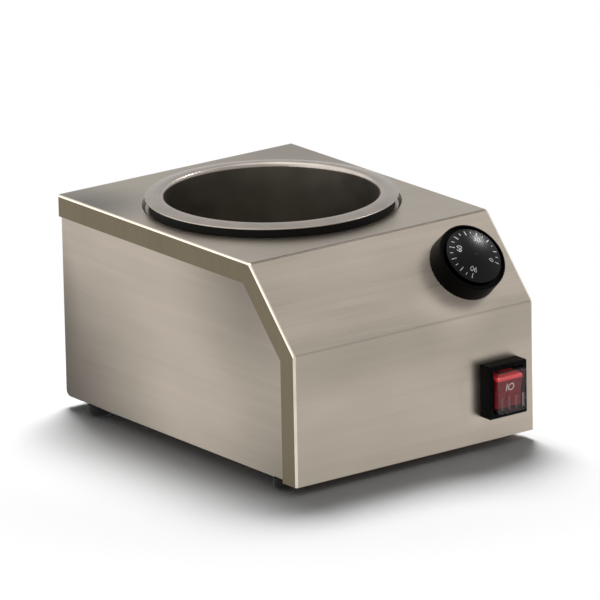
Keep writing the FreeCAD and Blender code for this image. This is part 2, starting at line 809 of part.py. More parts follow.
def knob():
    """Moulded cup on a D-shaped shaft, with a domed scale disc standing in its recess."""
    body = new_body("knob_body", **on_slope())
    inside = "knob_radius - knob_wall"
    shelf = "dial_seat - knob_wall"
    socket_top = "shaft_reach + screw_clearance"
    recess = "knob_radius - knob_draft - knob_rim"
    pin_hole = "dial_pin_radius + dial_pin_gap"
    pin_end = "dial_seat - dial_pin_length - screw_clearance"
    profile = [
        ("0", pin_end), (pin_hole, pin_end), (pin_hole, "dial_seat"), (recess, "dial_seat"),
        (recess, "knob_height"), ("knob_radius - knob_draft", "knob_height"),
        ("knob_radius", "knob_gap"),
        (inside, "knob_gap"), (f"{inside} - knob_draft", shelf), ("hub_radius", shelf),
        ("hub_radius", "knob_gap"), ("hub_bore", "knob_gap"), ("hub_bore", socket_top),
        ("0", socket_top),
    ]
    revolve(body, outline(body, "XZ", profile, {5: "knob_edge_round"}))
    flat = "(shaft_radius - shaft_flat + shaft_running_gap)"
    key_width = f"(hub_radius + shaft_radius) / 2 - {flat}"
    key = rectangle(body, "XY", key_width, "2 * shaft_radius",
                    (f"{flat} + ({key_width}) / 2", "0"), at=("0", "0", "knob_gap"))
    pad(body, key, f"{socket_top} - knob_gap")

    dial = new_body("dial_cap", **on_slope())
    edge = "knob_height + dial_edge"
    profile = [
        ("0", "dial_seat - dial_pin_length"), ("0", f"{edge} + dial_dome"),
        ("dial_radius", edge), ("dial_radius", "dial_seat"), ("dial_pin_radius", "dial_seat"),
        ("dial_pin_radius", "dial_seat - dial_pin_length"),
    ]
    revolve(dial, outline(dial, "XZ", profile, dome=1))

    shaft = new_body("thermostat_shaft", **on_slope("-sheet - shaft_inside"))
    length = "shaft_reach + sheet + shaft_inside"
    pad(shaft, circles(shaft, "XY", "shaft_radius"), length)
    cut = rectangle(shaft, "XY", "2 * shaft_flat", "3 * shaft_radius", ("shaft_radius", "0"),
                    at=("0", "0", length))
    pocket(shaft, cut, "shaft_reach - knob_gap")


def on_front(height="0", turn="90"):
    """Where a piece sits on the front: its own Z then points out of the front."""
    return dict(at=("switch_side", f"front_y - ({height})", "switch_z"), turn=turn)


def power_switch():
    """Rocker switch in its housing, with a raised frame that clamps a clear boot."""
    housing = new_body("switch_housing", **on_front())
    pad(housing, rectangle(housing, "XY", "housing_flange_width", "housing_flange_length",
                           rounding="frame_round"), "housing_flange_thickness")
    pad(housing, rectangle(housing, "XY", "switch_hole_width - 2 * switch_fit",
                           "switch_hole_length - 2 * switch_fit"), "housing_deep", reverse=True)
    pocket(housing, rectangle(housing, "XY", "rocker_well_width", "rocker_well_length",
                              at=("0", "0", "housing_flange_thickness")),
           "housing_flange_thickness + rocker_well_deep")
    pocket(housing, circles(housing, "YZ", "trunnion_radius + trunnion_gap",
                            [("0", "-rocker_pivot_depth")]),
           "rocker_width + 2 * trunnion_reach + 2 * switch_fit", symmetric=True)
    rocker()

    frame = new_body("switch_frame", **on_front())
    pad(frame, rectangle(frame, "XY", "frame_width", "frame_length", rounding="frame_round"),
        "frame_proud")
    pocket(frame, rectangle(frame, "XY", "housing_flange_width + 2 * switch_fit",
                            "housing_flange_length + 2 * switch_fit"),
           "boot_base + boot_flange", reverse=True)
    pocket(frame, rectangle(frame, "XY", "frame_window_width", "frame_window_length"),
           "through", symmetric=True)
    proud = value("frame_proud")
    half = value("frame_width / 2 - frame_round"), value("frame_length / 2 - frame_round")
    round_edges(frame, "frame_round / 2",
                lambda p: near(p.z, proud) and (abs(p.x) > half[0] or abs(p.y) > half[1]))

    boot = new_body("splash_boot", **on_front("boot_base"))
    pad(boot, rectangle(boot, "XY", "housing_flange_width", "housing_flange_length",
                        rounding="frame_round"), "boot_flange")
    tall = "boot_proud - boot_base"
    pad(boot, rectangle(boot, "XY", "boot_width", "boot_length", rounding="boot_round"), tall)
    top = value(tall)
    round_edges(boot, "boot_wall", lambda p: near(p.z, top))
    pocket(boot, rectangle(boot, "XY", "boot_width - 2 * boot_wall",
                           "boot_length - 2 * boot_wall", rounding="boot_round - boot_wall"),
           f"{tall} - boot_wall", reverse=True)
    for step in (-1.5, -0.5, 0.5, 1.5):
        rib = rectangle(boot, "XY", "rib_width", "rib_length",
                        (f"{step} * rib_spacing", "-rib_drop"), at=("0", "0", tall))
        pad(boot, rib, "rib_proud")

    tabs = new_body("switch_terminals", **on_front("-housing_deep"))
    for x in ("-switch_tab_x", "switch_tab_x"):
        for y in ("-switch_tab_y", "switch_tab_y"):
            tab(tabs, (x, y))


def rocker():
    """See-through rocker, shown with its lower end pressed in.

    A narrow stem tips in the housing, and a wide cap stands over the housing's flange.
    """
    body = new_body("rocker", **on_front("-rocker_pivot_depth", "90 + rocker_tilt"))
    stem_middle = ("0", "(rocker_cap_base - rocker_under) / 2")
    pad(body, rectangle(body, "YZ", "rocker_length", "rocker_cap_base + rocker_under",
                        stem_middle), "rocker_width", symmetric=True)
    half = "rocker_length / 2"
    cap = [
        (f"-{half}", "rocker_end_height"), (f"-{half}", "rocker_cap_base"),
        (half, "rocker_cap_base"), (half, "rocker_end_height"), ("0", "rocker_middle_height"),
    ]
    rounds = {0: "rocker_round", 3: "rocker_round"}
    pad(body, outline(body, "YZ", cap, rounds), "rocker_cap_width", symmetric=True)
    side, end = value("rocker_cap_width / 2"), value(half)
    base = value("rocker_cap_base")
    round_edges(body, "rocker_edge_round",
                lambda p: near(abs(p.x), side) and (not near(p.z, base) or near(abs(p.y), end)))
    pad(body, circles(body, "YZ", "trunnion_radius"), "rocker_width + 2 * trunnion_reach",
        symmetric=True)


def panel_screws():
    body = new_body("panel_screws")
    outer = dict(at=("0", "0", "-(panel_face)"))
    pad(body, circles(body, "XZ", "panel_head_radius", panel_screw_places(), **outer),
        "panel_head_height", reverse=True)
    pad(body, circles(body, "XZ", "panel_screw_radius", panel_screw_places(), **outer),
        "panel_screw_length")
    rear = value("panel_face + panel_head_height")
    round_edges(body, "panel_head_height / 3", lambda p: near(p.y, rear))


def cord_gland():
    """Threaded gland in the back panel, with its cap outside and its nut inside."""
    where = dict(at=("gland_side", "panel_face", "gland_z"), turn="-90")
    body = new_body("cord_gland", **where)
    pad(body, hexagon(body, "XY", "gland_hex_flats"), "gland_hex_height")
    pad(body, circles(body, "XY", "gland_spigot_radius", at=("0", "0", "gland_hex_height")),
        "gland_spigot_length")
    pad(body, circles(body, "XY", "gland_thread_radius"), "sheet + gland_inside", reverse=True)
    pocket(body, circles(body, "XY", "gland_bore"), "through", symmetric=True)

    cap = new_body("gland_cap", **where)
    sleeve = "gland_spigot_radius + gland_hole_gap"
    spigot_end = "gland_hex_height + gland_spigot_length + gland_hole_gap"
    profile = [
        (sleeve, "gland_hex_height"), ("gland_cap_radius", "gland_hex_height"),
        ("gland_cap_radius", "gland_proud - gland_taper"), ("gland_cap_mouth", "gland_proud"),
        ("gland_bore", "gland_proud"), ("gland_bore", spigot_end), (sleeve, spigot_end),
    ]
    revolve(cap, outline(cap, "XZ", profile, {2: "gland_cap_mouth / 2"}))

    nut = new_body("gland_nut", at=("gland_side", "panel_face - sheet", "gland_z"), turn="-90")
    pad(nut, hexagon(nut, "XY", "gland_hex_flats"), "gland_nut_height", reverse=True)
    pocket(nut, circles(nut, "XY", "gland_thread_radius + shaft_running_gap"), "through",
           symmetric=True)


def terminal_block():
    """Three-pole block on the tray floor, with its pole screws and fixing screws."""
    poles = [(f"{step} * block_pole_spacing", "0") for step in (-1, 0, 1)]
    body = new_body("terminal_block", at=("block_side", "block_behind_middle", "floor_z"))
    pad(body, rectangle(body, "XY", "block_width", "block_breadth"), "block_height")
    ears = rectangle(body, "XY", "block_width + 2 * block_ear", "block_breadth / 2")
    pad(body, ears, "block_ear_height")
    reach = "(block_width + block_ear) / 2"
    ear_holes = [(f"-{reach}", "0"), (reach, "0")]
    pocket(body, circles(body, "XY", "block_screw_radius + screw_clearance", ear_holes),
           "through", symmetric=True)
    wires = [(x, "block_height / 3") for x, _ in poles]
    pocket(body, circles(body, "XZ", "block_hole_radius", wires), "through", symmetric=True)
    wells = circles(body, "XY", "block_hole_radius", poles, at=("0", "0", "block_height"))
    pocket(body, wells, "block_height / 3")

    pole_screws = new_body("pole_screws", at=("block_side", "block_behind_middle",
                                              "floor_z + block_height * 2 / 3"))
    pad(pole_screws, circles(pole_screws, "XY", "block_hole_radius - shaft_running_gap", poles),
        "block_height / 6")

    fixings = new_body("block_screws", at=("0", "0", "floor_z + block_ear_height"))
    pad(fixings, circles(fixings, "XY", "block_screw_head", block_screw_places()),
        "block_screw_radius")
    pad(fixings, circles(fixings, "XY", "block_screw_radius", block_screw_places()),
        "block_ear_height + 2 * sheet", reverse=True)


def earth_stud():
    where = dict(at=("earth_side", "earth_behind_middle", "floor_z"))
    stud = new_body("earth_stud", **where)
    pad(stud, circles(stud, "XY", "earth_stud_radius"), "earth_stud_height")
    nut = new_body("earth_nut", **where)
    pad(nut, hexagon(nut, "XY", "earth_nut_flats"), "earth_nut_height")
    pocket(nut, circles(nut, "XY", "earth_stud_radius + shaft_running_gap"), "through",
           symmetric=True)


def round_path(points, radius):
    """Straight runs joined by arcs that are tangent to both runs."""
    edges = []
    start = points[0]
    for before, corner, after in zip(points, points[1:], points[2:]):
        into = (corner - before).normalize()
        out = (after - corner).normalize()
        half_turn = into.getAngle(out) / 2
        reach = radius * sin(half_turn) / cos(half_turn)
        first = corner - into * reach
        last = corner + out * reach
        toward = (out - into).normalize()
        centre = corner + toward * (radius / cos(half_turn))
        edges.append(Part.makeLine(start, first))
        edges.append(Part.Arc(first, centre - toward * radius, last).toShape())
        start = last
    edges.append(Part.makeLine(start, points[-1]))
    return Part.Wire(edges)


def tube(name, points, radius, bend):
    """A round wire or pipe that is swept along its rounded path."""
    path = round_path(points, bend)
    start = path.OrderedEdges[0]
    ring = Part.Wire(Part.makeCircle(radius, start.valueAt(start.FirstParameter),
                                     start.tangentAt(start.FirstParameter)))
    item = doc.addObject("Part::Feature", name)
    item.Label = name
    item.Shape = path.makePipeShell([ring], True, True)
    return keep(item)


def slope_point(x, y, out):
    """A point given in the sloping panel's own frame, as a point of the part."""
    turn = Rotation(Vector(1, 0, 0), value("slope_angle"))
    middle = Vector(value("knob_side"), value("knob_y"), value("knob_z"))
    return middle + turn.multVec(Vector(x, y, out))


def capillary():
    """Thin copper tube from the back of the thermostat to the top of the bulb."""
    bulb_top = Vector(value("sensor_x"), value("sensor_y"),
                      value("pocket_z + pocket_wall + sensor_length"))
    over = bulb_top + Vector(0, 0, value("capillary_rise"))
    back = value("-sheet - thermostat_deep")
    high = value("thermostat_breadth / 3")
    clear = slope_point(0, high, back - value("capillary_drop"))
    tube("capillary_tube", [bulb_top, over, clear, slope_point(0, high, back)],
         value("capillary_radius"), value("capillary_bend"))


def finish():
    doc.recompute()
    for item in doc.Objects:
        if "Invalid" in item.State or "Error" in item.State:
            raise RuntimeError(f"{item.Name} failed: {item.State}")
    os.makedirs("parts", exist_ok=True)
    for item in nodes:
        if item.Shape.isNull() or not item.Shape.isValid():
            raise RuntimeError(f"{item.Label} has no valid shape")
        item.Shape.exportStep(f"parts/{item.Label}.step")


top_cover()
base_tray()
back_panel()
feet()
foot_fixings()
water_well()
pot_gasket()
pot()
heating()
safety_cutout()
insulation_wrap()
temperature_sensor()
thermostat()
knob()
power_switch()
panel_screws()
cord_gland()
terminal_block()
earth_stud()
capillary()
finish()
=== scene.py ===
import json
from math import cos, pi, radians, sin

import bmesh
import bpy
from mathutils import Matrix, Vector
from mathutils.bvhtree import BVHTree


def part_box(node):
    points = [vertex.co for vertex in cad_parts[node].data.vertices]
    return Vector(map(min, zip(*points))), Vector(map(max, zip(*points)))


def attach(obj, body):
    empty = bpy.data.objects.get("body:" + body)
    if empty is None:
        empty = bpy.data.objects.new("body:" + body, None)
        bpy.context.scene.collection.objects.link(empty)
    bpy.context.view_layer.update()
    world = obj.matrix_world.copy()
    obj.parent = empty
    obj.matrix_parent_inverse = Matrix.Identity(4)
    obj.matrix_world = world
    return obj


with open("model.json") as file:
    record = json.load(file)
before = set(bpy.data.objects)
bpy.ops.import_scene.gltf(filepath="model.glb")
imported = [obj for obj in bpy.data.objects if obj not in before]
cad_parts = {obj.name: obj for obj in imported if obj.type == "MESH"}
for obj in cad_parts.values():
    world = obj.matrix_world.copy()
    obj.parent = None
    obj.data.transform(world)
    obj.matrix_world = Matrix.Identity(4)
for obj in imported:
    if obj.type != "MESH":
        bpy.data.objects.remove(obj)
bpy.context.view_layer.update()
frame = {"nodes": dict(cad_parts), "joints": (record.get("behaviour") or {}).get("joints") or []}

# Looks of a table-top chocolate bain-marie: brushed stainless housing, black thermostat
# knob with a printed scale, red rocker under a clear splash boot, and a lift-out pot.
# Metres, with X to the right seen from the front, Y to the back and Z up.

MM = 0.001


def hex_linear(code):
    """An sRGB hex colour as linear RGBA."""
    channels = [int(code[i:i + 2], 16) / 255 for i in (1, 3, 5)]
    linear = [c / 12.92 if c <= 0.04045 else ((c + 0.055) / 1.055) ** 2.4 for c in channels]
    return (*linear, 1.0)


def shade(code, *factors):
    """A hex colour made lighter or darker by one factor, or by one for each channel."""
    channels = [int(code[i:i + 2], 16) for i in (1, 3, 5)]
    changed = [min(255, round(c * f)) for c, f in zip(channels, factors * (3 // len(factors)))]
    return "#%02X%02X%02X" % tuple(changed)


def add(tree, kind, inputs=None, **settings):
    """Add a node, give it its settings, and fill or link its inputs by name or number."""
    node = tree.nodes.new(kind)
    for name, setting in settings.items():
        setattr(node, name, setting)
    for key, source in (inputs or {}).items():
        if isinstance(source, bpy.types.NodeSocket):
            tree.links.new(source, node.inputs[key])
        else:
            node.inputs[key].default_value = source
    return node


def new_material(name, **numbers):
    """A material with a bare Principled shader that has these numbers on its own sockets."""
    material = bpy.data.materials.new(name)
    material.use_nodes = True
    tree = material.node_tree
    shader = tree.nodes["Principled BSDF"]
    for key, number in numbers.items():
        shader.inputs[key.replace("_", " ")].default_value = number
    return material, tree, shader


def grain(tree, across, along, direction, detail=3.0):
    """Noise drawn out along one axis; across and along are its sizes in metres."""
    coordinates = add(tree, "ShaderNodeTexCoord")
    sizes = [1 / (along if axis == direction else across) for axis in "XYZ"]
    mapping = add(tree, "ShaderNodeMapping",
                  {"Vector": coordinates.outputs["Object"], "Scale": sizes})
    noise = add(tree, "ShaderNodeTexNoise",
                {"Vector": mapping.outputs["Vector"], "Scale": 1.0, "Detail": detail})
    return noise.outputs["Fac"]


def soft_areas(tree, painted_reflections):
    """Broad soft areas of painted reflection and shade on a sheet: each is its middle, its
    reach along X, Y and Z, and its depth of shade, where a depth below zero lightens."""
    level = None
    for middle, reach, depth in painted_reflections:
        coordinates = add(tree, "ShaderNodeTexCoord")
        local = add(tree, "ShaderNodeMapping",
                    {"Vector": coordinates.outputs["Object"], "Location": middle,
                     "Scale": reach}, vector_type="TEXTURE")
        away = add(tree, "ShaderNodeVectorMath", {0: local.outputs["Vector"]},
                   operation="LENGTH")
        patch = add(tree, "ShaderNodeMapRange", {
            "Value": away.outputs["Value"], "To Min": 1 - depth},
            interpolation_type="SMOOTHSTEP").outputs["Result"]
        level = patch if level is None else add(
            tree, "ShaderNodeMath", {0: level, 1: patch}, operation="MULTIPLY").outputs["Value"]
    return level


def brushed_stainless(name, colour, direction, roughness=0.34, painted_reflections=()):
    """AISI 304 sheet with a ground satin finish.

    The belt leaves fine parallel lines, so highlights spread across them. The real lines
    are about 0.05 mm apart and are drawn at 0.5 mm so that they show at this size. The
    bands are passes of the belt, and the clouds are the sheet's uneven tone.
    """
    material, tree, shader = new_material(name, Metallic=1.0)
    line_pitch, line_length = 0.5 * MM, 60 * MM
    band_width, band_length = 5 * MM, 240 * MM
    cloud_width, cloud_length = 35 * MM, 70 * MM
    lines = grain(tree, line_pitch, line_length, direction)
    bands = grain(tree, band_width, band_length, direction, detail=2.0)
    clouds = grain(tree, cloud_width, cloud_length, direction, detail=1.0)
    cool, warm = shade(colour, 0.95, 0.955, 0.94), shade(colour, 1.05, 1.03, 1.04)
    tone = add(tree, "ShaderNodeMix", {0: clouds, 6: hex_linear(cool), 7: hex_linear(warm)},
               data_type="RGBA")
    for streaks, darkest in ((lines, "#EDEDED"), (bands, "#F1F1F1")):
        streaked = add(tree, "ShaderNodeMix", {
            0: streaks, 6: hex_linear(darkest), 7: hex_linear("#FFFFFF")}, data_type="RGBA")
        tone = add(tree, "ShaderNodeMix", {0: 1.0, 6: tone.outputs[2], 7: streaked.outputs[2]},
                   data_type="RGBA", blend_type="MULTIPLY")
    # Painted reflection and shade: soft darker and lighter areas laid over the tone.
    if painted_reflections:
        tone = add(tree, "ShaderNodeMix",
                   {0: 1.0, 6: tone.outputs[2], 7: soft_areas(tree, painted_reflections)},
                   data_type="RGBA", blend_type="MULTIPLY")
    tree.links.new(tone.outputs[2], shader.inputs["Base Color"])
    spread = add(tree, "ShaderNodeMapRange", {
        "Value": lines, "From Min": 0.2, "From Max": 0.8,
        "To Min": roughness - 0.04, "To Max": roughness + 0.05})
    tree.links.new(spread.outputs["Result"], shader.inputs["Roughness"])
    bump = add(tree, "ShaderNodeBump",
               {"Height": lines, "Strength": 0.1, "Distance": 0.02 * MM})
    tree.links.new(bump.outputs["Normal"], shader.inputs["Normal"])
    return material


def moulded(name, colour, roughness, grit=0.25, depth=0.01, strength=0.2, **numbers):
    """Moulded plastic or rubber with the fine grit of its mould; sizes in millimetres."""
    material, tree, shader = new_material(name, **numbers)
    blotch = 18 * MM
    grains = grain(tree, grit * MM, grit * MM, "X", detail=2.0)
    blotches = grain(tree, blotch, blotch, "X")
    tone = add(tree, "ShaderNodeMix", {
        0: blotches, 6: hex_linear(shade(colour, 0.9)), 7: hex_linear(shade(colour, 1.1))},
        data_type="RGBA")
    tree.links.new(tone.outputs[2], shader.inputs["Base Color"])
    spread = add(tree, "ShaderNodeMapRange", {
        "Value": blotches, "To Min": roughness * 0.85, "To Max": roughness * 1.15})
    tree.links.new(spread.outputs["Result"], shader.inputs["Roughness"])
    bump = add(tree, "ShaderNodeBump",
               {"Height": grains, "Strength": strength, "Distance": depth * MM})
    tree.links.new(bump.outputs["Normal"], shader.inputs["Normal"])
    return material


def plain_metal(name, colour, roughness, grit=0.4):
    """Plated, turned or drawn metal with slight unevenness in its shine."""
    return moulded(name, colour, roughness, grit, strength=0.12, Metallic=1.0)


def clear_silicone():
    """Clear silicone rubber of the splash boot: soft gloss, faint haze.

    Its index is 1.41. It is drawn at 1.3 so that the pale room does not veil the rocker.
    """
    material, tree, shader = new_material(
        "clear_silicone", Transmission_Weight=1.0, IOR=1.3, Base_Color=hex_linear("#F6F1F0"))
    haze_size = 3 * MM
    haze = grain(tree, haze_size, haze_size, "X", detail=2.0)
    spread = add(tree, "ShaderNodeMapRange", {"Value": haze, "To Min": 0.03, "To Max": 0.12})
    tree.links.new(spread.outputs["Result"], shader.inputs["Roughness"])
    return material


def paint(node, *materials, choose=None):
    """Give a CAD node its finish; choose picks one of several for each face."""
    solid = frame["nodes"][node]
    solid.data.materials.clear()
    for material in materials:
        solid.data.materials.append(material)
    for face in solid.data.polygons:
        face.material_index = choose(face) if choose else 0


def finish_housing():
    """The cover is ground across, so its lips lie across the side panels' grain; their darker
    colour is painted shade for the light that this grain turns away. Its corners to the sides
    are smoother, and their lighter colour is a painted highlight. The fold between the top and
    the slope, and other faces that tilt a little from flat, are rougher and carry painted
    shade, a darker colour.

    The soft areas are painted reflection and shade: darker where the steel mirrors shadow
    and dark things, lighter by the well, the knob and the switch, over the dark reflections
    of the pot, the knob and the switch. Each is named for where it lies.
    """
    half_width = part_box("top_cover")[1][0]
    bend = 3 * MM
    flat_face, lip_face = 0.12, 0.96
    lowest_fold, highest_fold = 0.7, 0.99
    # Painted reflection and shade on the cover: middle, reach and depth; a depth below zero
    # lightens.
    back_left = ((-0.1, 0.1, 0.15), (0.06, 0.07, 0.07), 0.62)
    back_right = ((0.1, 0.12, 0.15), (0.13, 0.13, 0.13), 0.3)
    slope_foot = ((0.0, -0.14, 0.088), (0.25, 0.03, 0.03), 0.16)
    by_well = ((-0.06, -0.035, 0.15), (0.07, 0.045, 0.03), -0.35)
    by_knob = ((0.04, -0.124, 0.105), (0.04, 0.035, 0.035), -0.3)
    by_switch = ((0.053, -0.133, 0.045), (0.016, 0.03, 0.03), -0.5)
    cover = brushed_stainless(
        "brushed_stainless_cover", "#C6BDAF", "X", roughness=0.33,
        painted_reflections=[back_left, back_right, slope_foot, by_well, by_knob, by_switch])
    # Painted shade: the lips darker than the cover.
    lips = brushed_stainless("brushed_stainless_lips_painted_shade", "#817762", "Z", roughness=0.4)
    # Painted highlight: the corners to the sides lighter than the cover.
    bend_highlight = plain_metal("stainless_bends_painted_highlight", "#EADFCF", 0.26)
    # Painted shade: the fold below the top darker than the cover.
    fold = brushed_stainless("brushed_stainless_fold_painted_shade", "#8C8479", "X", roughness=0.5)

    def sheet_side(face):
        if abs(face.center.x) < half_width - bend or abs(face.normal.x) < flat_face:
            return 3 if lowest_fold < face.normal.z < highest_fold else 0
        return 1 if abs(face.normal.x) > lip_face else 2

    paint("top_cover", cover, lips, bend_highlight, fold, choose=sheet_side)
    # Painted reflection and shade on the side panels, darkest at the lower back.
    low_back = ((-0.1, 0.14, 0.0), (0.15, 0.15, 0.15), 0.8)
    back_edge = ((-0.1, 0.14, 0.07), (0.1, 0.035, 0.07), 0.4)
    high_front = ((-0.1, -0.085, 0.15), (0.1, 0.1, 0.13), 0.5)
    low_front = ((-0.1, -0.13, 0.0), (0.1, 0.1, 0.1), 0.35)
    tray = brushed_stainless("brushed_stainless_sides", "#C8BEB0", "Y", roughness=0.34,
                             painted_reflections=[low_back, back_edge, high_front, low_front])
    paint("base_tray", tray)
    paint("back_panel", brushed_stainless("brushed_stainless_back", "#BDB3A7", "X"))


def finish_pot():
    """The drawn pot has a satin rim and unpolished walls, whose darker colour is painted shade.
    """
    low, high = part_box("pot")
    middle = Vector(((low[0] + high[0]) / 2, (low[1] + high[1]) / 2, 0))
    rim_radius, rim_depth = 74 * MM, 3.2 * MM
    rim = plain_metal("satin_stainless_rim", "#B4ABA2", 0.34, grit=2.5)
    # Painted shade: the walls below the rim darker than the rim.
    walls = plain_metal("drawn_stainless_walls_painted_shade", "#857F75", 0.42)

    def rim_or_wall(face):
        radius = (Vector((face.center.x, face.center.y, 0)) - middle).length
        return 1 if radius < rim_radius and face.center.z < high[2] - rim_depth else 0

    paint("pot", rim, walls, choose=rim_or_wall)


def finish_small_pieces():
    """The pieces that have one finish all over."""
    # Drawn stainless, left unpolished: a soft grey shine.
    drawn_steel = plain_metal("drawn_stainless_well", "#A9A39B", 0.38)
    # Zinc plate: pale and fairly bright.
    zinc = plain_metal("zinc_plated_steel", "#C9C9C6", 0.3)
    # EPDM rubber: near black and matt, with a visible grit.
    epdm = moulded("epdm_rubber", "#0D0C0B", 0.62, grit=0.5, depth=0.03, strength=0.3,
                   Specular_IOR_Level=0.2)
    # Silicone skin of the heater: brick red and matt.
    silicone_red = moulded("silicone_heater_skin", "#8C3A22", 0.55, grit=0.8, depth=0.05)
    # Plain aluminium: pale with a soft shine.
    aluminium = plain_metal("plain_aluminium", "#C8C8C9", 0.34)
    # Phenolic of the electrical cases: brownish black with a faint sheen.
    phenolic = moulded("black_phenolic", "#1E1B19", 0.45, grit=0.4)
    # Mineral wool: pale, fibrous, without any shine.
    wool = moulded("mineral_wool", "#D9D4C4", 0.95, grit=1.2, depth=0.4, strength=0.6)
    # Copper and brass, untreated: warm and fairly bright.
    copper = plain_metal("plain_copper", "#C77B55", 0.3)
    brass = plain_metal("plain_brass", "#C9A655", 0.32)
    # Phenolic of the knob: deep black that hardly shines.
    knob_black = moulded("black_phenolic_knob", "#030303", 0.4, grit=0.6, depth=0.004,
                         strength=0.06, Specular_IOR_Level=0.04)
    # Polished phenolic of the dial: black, with one soft highlight on its dome.
    dial_black = moulded("gloss_black_dial", "#060506", 0.26, grit=0.6, depth=0.004,
                         strength=0.06, Specular_IOR_Level=0.22)
    # Polyamide of the switch, the gland and the terminal block: a fine dull grain.
    nylon_black = moulded("black_polyamide", "#040404", 0.5, grit=0.35, depth=0.02,
                          strength=0.25, Specular_IOR_Level=0.06)
    nylon_white = moulded("white_polyamide", "#D5D5CE", 0.4, grit=0.4)
    finishes = {
        drawn_steel: ["water_well", "sensor_pocket"],
        zinc: ["foot_screws", "foot_nuts", "heater_stud", "heater_nut", "cutout_screws",
               "thermostat_screws", "panel_screws", "block_screws"],
        epdm: ["foot_front_left", "foot_front_right", "foot_back_left", "foot_back_right",
               "pot_gasket"],
        silicone_red: ["heater_pad"],
        aluminium: ["heater_clamp_disc", "thermostat_shaft"],
        phenolic: ["safety_cutout", "thermostat_body"],
        wool: ["insulation_wrap"],
        copper: ["sensor_bulb", "capillary_tube"],
        brass: ["thermostat_terminals", "switch_terminals", "pole_screws", "earth_stud",
                "earth_nut"],
        knob_black: ["knob_body"],
        dial_black: ["dial_cap"],
        nylon_black: ["switch_housing", "switch_frame", "cord_gland", "gland_cap", "gland_nut"],
        nylon_white: ["terminal_block"],
    }
    for material, nodes in finishes.items():
        for node in nodes:
            paint(node, material)


def finish_boot():
    """The boot is clear, and the mould leaves its ribs matt and milky."""
    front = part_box("splash_boot")[0][1]
    rib_depth = 0.3 * MM
    ribs = moulded("matt_silicone_ribs", "#D8C8C8", 0.6, IOR=1.3, Transmission_Weight=0.8)
    paint("splash_boot", clear_silicone(), ribs,
          choose=lambda face: int(face.center.y < front + rib_depth))


def finish_rocker():
    """Clear red polycarbonate that looks deep; its raised end has painted light, a much lighter
    red.
    """
    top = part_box("rocker")[1][2]
    painted_light_height = 4.2 * MM
    deep = moulded("red_polycarbonate", "#7E0A18", 0.3, grit=0.8, strength=0.05, IOR=1.585,
                   Specular_IOR_Level=0.12)
    # Painted light: the raised end lighter, where light falls on it through the boot.
    painted_light_end = moulded("red_polycarbonate_painted_light_end", "#F52C34", 0.25, grit=0.8, strength=0.05,
                  IOR=1.585)
    paint("rocker", deep, painted_light_end, choose=lambda face: int(face.center.z > top - painted_light_height))


def bar(shape, middle, angle, length, width):
    """Add a straight stroke to a flat shape, in steps that can follow a curved surface."""
    steps = 4
    along = Vector((cos(angle), sin(angle)))
    across = Vector((-along.y, along.x)) * width / 2
    pairs = []
    for step in range(steps + 1):
        point = Vector(middle) + along * length * (step / steps - 0.5)
        pairs.append([shape.verts.new((*(point + side * across), 0)) for side in (-1, 1)])
    for (a, b), (c, d) in zip(pairs, pairs[1:]):
        shape.faces.new((a, c, d, b))


def ring(shape, middle, width, height, stroke):
    """Add an upright oval ring to a flat shape."""
    steps = 40
    inner, outer = [], []
    for step in range(steps):
        angle = 2 * pi * step / steps
        for loop, less in ((inner, stroke), (outer, 0)):
            loop.append(shape.verts.new((middle[0] + (width / 2 - less) * cos(angle),
                                         middle[1] + (height / 2 - less) * sin(angle), 0)))
    for i in range(steps):
        j = (i + 1) % steps
        shape.faces.new((inner[i], outer[i], outer[j], inner[j]))


def number(shape, text, middle, turn, height):
    """Add a number in the built-in font to a flat shape, turned about its middle."""
    curve = bpy.data.curves.new("number", "FONT")
    curve.body = text
    carrier = bpy.data.objects.new("number", curve)
    flat = bpy.data.meshes.new_from_object(carrier)
    bpy.data.objects.remove(carrier)
    bpy.data.curves.remove(curve)
    low, high = ([pick(v.co[axis] for v in flat.vertices) for axis in (0, 1)]
                 for pick in (min, max))
    centre = Vector([(low[axis] + high[axis]) / 2 for axis in (0, 1)])
    scale = height / (high[1] - low[1])
    turned = Matrix.Rotation(turn, 2)
    places = []
    for vertex in flat.vertices:
        point = Vector(middle) + turned @ ((vertex.co.xy - centre) * scale)
        places.append(shape.verts.new((*point, 0)))
    for face in flat.polygons:
        shape.faces.new([places[i] for i in face.vertices])
    bpy.data.meshes.remove(flat)


def printed(name, shape, node, origin, out, body, ink):
    """Lay a flat shape on a CAD node as a thin closed skin of print that rides with it.

    The shape's own X runs to the right. The skin starts inside the surface and stands proud
    of it, so no edge of it lifts.
    """
    sunk, proud, clear = 0.05 * MM, 0.06 * MM, 20 * MM
    right = Vector((1, 0, 0))
    solid = frame["nodes"][node].data
    surface = BVHTree.FromPolygons([v.co for v in solid.vertices],
                                   [tuple(p.vertices) for p in solid.polygons])
    up = out.cross(right)
    bmesh.ops.remove_doubles(shape, verts=shape.verts, dist=0.001 * MM)
    bmesh.ops.recalc_face_normals(shape, faces=shape.faces)
    if sum(face.normal.z for face in shape.faces) < 0:
        bmesh.ops.reverse_faces(shape, faces=shape.faces)
    count = len(shape.verts)
    top, bottom = [], []
    for index, vertex in enumerate(shape.verts):
        vertex.index = index
        start = origin + right * vertex.co.x + up * vertex.co.y + out * clear
        touch = surface.ray_cast(start, -out)[0]
        top.append(touch + out * proud)
        bottom.append(touch - out * sunk)
    faces = []
    for face in shape.faces:
        loop = [v.index for v in face.verts]
        faces += [loop, [i + count for i in reversed(loop)]]
        for a, b, edge in zip(loop, loop[1:] + loop[:1], face.edges):
            if len(edge.link_faces) == 1:
                faces.append([b, a, a + count, b + count])
    shape.free()
    mesh = bpy.data.meshes.new(name)
    mesh.from_pydata(top + bottom, [], faces)
    mesh.materials.append(ink)
    piece = bpy.data.objects.new(name, mesh)
    bpy.context.scene.collection.objects.link(piece)
    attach(piece, body)


def joint(name):
    """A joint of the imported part, with its place and its axis."""
    return next(j for j in frame["joints"] if j["name"] == name)


